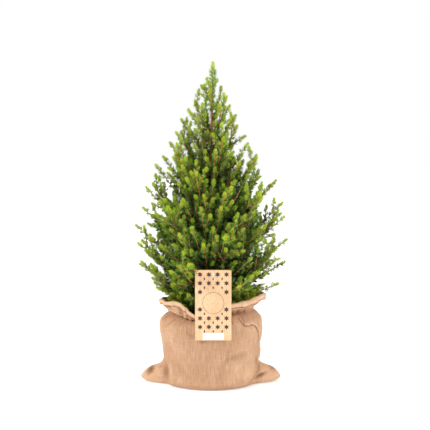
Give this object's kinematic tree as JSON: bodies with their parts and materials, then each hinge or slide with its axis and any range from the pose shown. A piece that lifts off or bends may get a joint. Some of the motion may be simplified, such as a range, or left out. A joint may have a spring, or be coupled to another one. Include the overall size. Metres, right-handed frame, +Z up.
{
  "type": "potted dwarf spruce",
  "caption": "Young conical dwarf spruce in a round plant pot that stands in a gathered jute sack with pointed bottom corners, with a patterned card hung from its trunk on a string.",
  "frame": {"origin": "middle of the sack's flat underside, on the pot's axis", "axes": "+Z up the trunk, +X to the right seen from the card's side, -Y towards the card"},
  "size_m": [0.2983, 0.3007, 0.65],
  "materials": {
    "jute": "coarse plain weave",
    "pot_plastic": "satin",
    "peat": "crumbly",
    "kraft_card": "matt printed",
    "cotton": "twisted",
    "bark": "flaky",
    "needles": "satin"
  },
  "bodies": {
    "root": {"sack": "jute", "pot": "pot_plastic", "soil": "peat", "card": "kraft_card", "card_string": "cotton", "trunk": "bark", "bough_12": "bark", "bough_13": "bark", "bough_14": "bark", "bough_15": "bark", "bough_16": "bark", "bough_17": "bark", "bough_18": "bark", "bough_19": "bark", "bough_20": "bark", "bough_21": "bark", "bough_22": "bark", "bough_23": "bark", "bough_24": "bark", "bough_25": "bark", "bough_26": "bark", "bough_27": "bark", "bough_28": "bark", "bough_29": "bark", "bough_30": "bark", "bough_31": "bark", "bough_32": "bark", "foliage_01": "needles", "foliage_02": "needles", "foliage_03": "needles", "foliage_04": "needles", "foliage_05": "needles", "foliage_06": "needles", "foliage_07": "needles", "foliage_08": "needles", "foliage_09": "needles", "foliage_10": "needles", "foliage_11": "needles", "foliage_12": "needles", "foliage_13": "needles", "foliage_14": "needles", "foliage_15": "needles", "foliage_16": "needles", "foliage_17": "needles", "foliage_18": "needles", "foliage_19": "needles", "foliage_20": "needles", "foliage_21": "needles", "foliage_22": "needles", "foliage_23": "needles", "foliage_24": "needles", "foliage_25": "needles", "foliage_26": "needles", "foliage_27": "needles", "foliage_28": "needles", "foliage_29": "needles", "foliage_30": "needles", "foliage_31": "needles", "foliage_32": "needles", "leader_foliage": "needles"}
  },
  "joints": []
}
